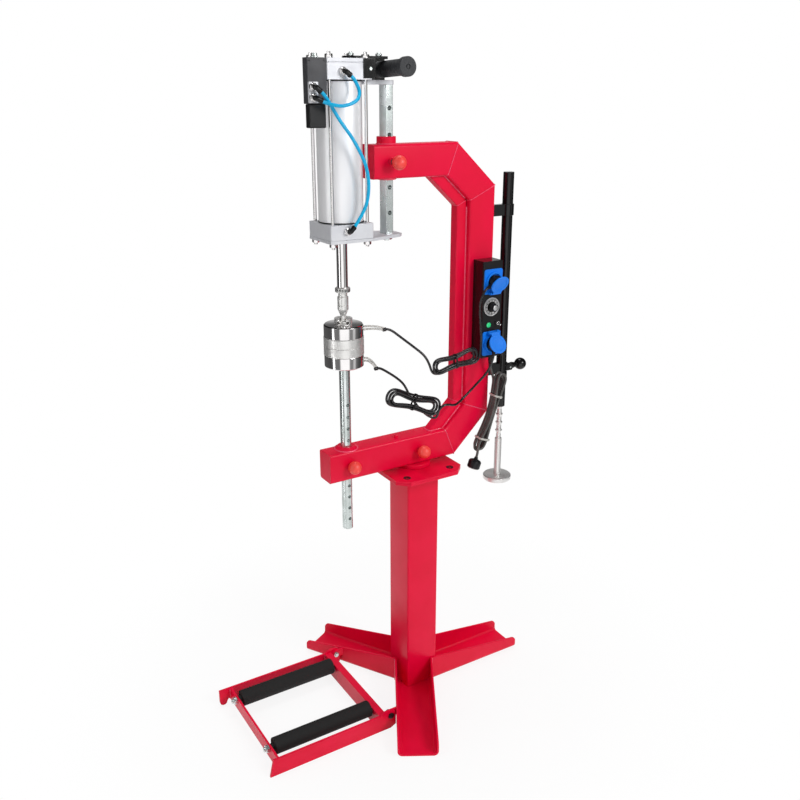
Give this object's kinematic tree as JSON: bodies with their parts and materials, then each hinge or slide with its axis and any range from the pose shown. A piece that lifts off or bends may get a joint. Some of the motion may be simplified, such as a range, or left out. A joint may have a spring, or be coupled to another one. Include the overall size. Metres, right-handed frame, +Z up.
{
  "type": "tire vulcanizer",
  "caption": "Floor-standing tyre vulcaniser: an air cylinder presses a pair of round heaters together on a swivelling C-frame, with a folding roller cradle for the tyre",
  "frame": {"origin": "on the floor, on the axis of the column and of the swivel", "axes": "+X towards the spine and the ratchet post, -X the way the arms reach; -Y the side of the control box; +Z up"},
  "size_m": [0.9315, 0.6616, 1.7578],
  "materials": {
    "red_paint": "glossy crimson paint",
    "zinc": "bright zinc plate",
    "chrome": "polished",
    "steel": "turned",
    "aluminium": "machined",
    "barrel_tube": "anodised",
    "black_paint": "satin black",
    "black_plastic": "satin",
    "rubber": "soft",
    "roller_skin": "glossy",
    "glass_sleeve": "woven",
    "blue_tube": "smooth",
    "blue_plastic": "satin",
    "silver": "satin",
    "green_lens": "clear lens",
    "red_ball": "polished"
  },
  "bodies": {
    "base": {"leg_rear": "red_paint", "leg_front": "red_paint", "leg_back": "red_paint", "column": "red_paint", "swivel_plate": "red_paint", "thrust_washer": "steel", "pivot_bolt_front": "zinc", "pivot_bolt_back": "zinc"},
    "c_frame": {"c_frame": "red_paint", "inner_stiffener": "red_paint", "control_box": "black_paint", "control_panel": "black_paint", "timer": "silver", "indicator_lamp": "green_lens", "socket_upper": "blue_plastic", "socket_lower": "blue_plastic", "plug_upper": "black_plastic", "plug_lower": "black_plastic", "ratchet_tube": "black_paint", "upper_lead": "rubber", "upper_hank": "rubber", "lower_lead": "rubber", "lower_hank": "rubber", "mains_hank": "rubber", "mains_plug": "black_plastic"},
    "head": {"hex_post": "zinc", "bottom_bracket": "aluminium", "bottom_cap": "aluminium", "top_cap": "aluminium", "barrel": "barrel_tube", "tie_rod_outer_front": "zinc", "tie_rod_outer_back": "zinc", "tie_rod_inner_front": "zinc", "tie_rod_inner_back": "zinc", "grip_bracket": "black_paint", "grip": "rubber", "valve": "black_plastic", "air_tube_long": "blue_tube", "air_tube_short": "blue_tube"},
    "ram": {"piston_rod": "chrome", "rod_coupling": "steel", "upper_heater": "chrome", "upper_lead_sleeves": "glass_sleeve"},
    "lower_post": {"lower_post": "zinc", "lower_heater": "chrome", "lower_lead_sleeves": "glass_sleeve"},
    "lower_lock_pin": {"lower_lock_pin": "red_ball"},
    "upper_lock_pin": {"upper_lock_pin": "red_ball"},
    "swivel_lock_pin": {"swivel_lock_pin": "red_ball"},
    "roller_frame": {"roller_frame": "red_paint", "axle_front": "zinc", "axle_back": "zinc"},
    "roller_front": {"roller_front": "roller_skin"},
    "roller_back": {"roller_back": "roller_skin"},
    "ratchet_rod": {"ratchet_rod": "steel"},
    "pawl_lever": {"pawl_lever": "red_ball"},
    "dial_knob": {"dial_knob": "black_plastic"},
    "toggle_lever": {"toggle_lever": "silver"},
    "flap_upper": {"flap_upper": "blue_plastic"},
    "flap_lower": {"flap_lower": "blue_plastic"}
  },
  "joints": [
    {"name": "swivel", "type": "hinge", "parent": "base", "child": "c_frame", "pos_m": [0, 0, 0.75], "axis": [0, 0, 1], "continuous": true},
    {"name": "head_slide", "type": "slide", "parent": "c_frame", "child": "head", "axis": [0, 0, 1], "range_m": [0, 0.12]},
    {"name": "ram_slide", "type": "slide", "parent": "head", "child": "ram", "axis": [0, 0, 1], "range_m": [0, 0.1]},
    {"name": "lower_post_slide", "type": "slide", "parent": "c_frame", "child": "lower_post", "axis": [0, 0, 1], "range_m": [-0.16, 0]},
    {"name": "lower_lock_pull", "type": "slide", "parent": "c_frame", "child": "lower_lock_pin", "axis": [0, -1, 0], "range_m": [0, 0.015], "stiffness_N_per_m": 300, "springref_m": -0.005},
    {"name": "upper_lock_pull", "type": "slide", "parent": "c_frame", "child": "upper_lock_pin", "axis": [0, -1, 0], "range_m": [0, 0.015], "stiffness_N_per_m": 300, "springref_m": -0.005},
    {"name": "swivel_lock_pull", "type": "slide", "parent": "c_frame", "child": "swivel_lock_pin", "axis": [0, -1, 0], "range_m": [0, 0.015], "stiffness_N_per_m": 300, "springref_m": -0.005},
    {"name": "frame_fold", "type": "hinge", "parent": "base", "child": "roller_frame", "pos_m": [-0.18, 0, 0.042], "axis": [0, 1, 0], "range_deg": [0, 90]},
    {"name": "roller_front_spin", "type": "hinge", "parent": "roller_frame", "child": "roller_front", "pos_m": [-0.36, -0.113, 0.0425], "axis": [1, 0, 0], "continuous": true},
    {"name": "roller_back_spin", "type": "hinge", "parent": "roller_frame", "child": "roller_back", "pos_m": [-0.36, 0.113, 0.0425], "axis": [1, 0, 0], "continuous": true},
    {"name": "ratchet_rod_slide", "type": "slide", "parent": "c_frame", "child": "ratchet_rod", "axis": [0, 0, 1], "range_m": [-0.2, 0]},
    {"name": "pawl_lift", "type": "hinge", "parent": "c_frame", "child": "pawl_lever", "pos_m": [0.3165, 0, 0.929], "axis": [0, -1, 0], "range_deg": [0, 12]},
    {"name": "dial_turn", "type": "hinge", "parent": "c_frame", "child": "dial_knob", "pos_m": [0.1905, -0.08, 1.134], "axis": [0, -1, 0], "range_deg": [0, 270]},
    {"name": "toggle_flip", "type": "hinge", "parent": "c_frame", "child": "toggle_lever", "pos_m": [0.211, -0.0776, 1.088], "axis": [-1, 0, 0], "range_deg": [0, 16]},
    {"name": "flap_upper_open", "type": "hinge", "parent": "c_frame", "child": "flap_upper", "pos_m": [0.1925, -0.0906, 1.172], "axis": [1, 0, 0], "range_deg": [0, 70], "stiffness_Nm_per_rad": 0.03, "springref_deg": -34.38},
    {"name": "flap_lower_open", "type": "hinge", "parent": "c_frame", "child": "flap_lower", "pos_m": [0.1925, -0.0906, 1.065], "axis": [-1, 0, 0], "range_deg": [0, 70], "stiffness_Nm_per_rad": 0.03, "springref_deg": -34.38}
  ]
}
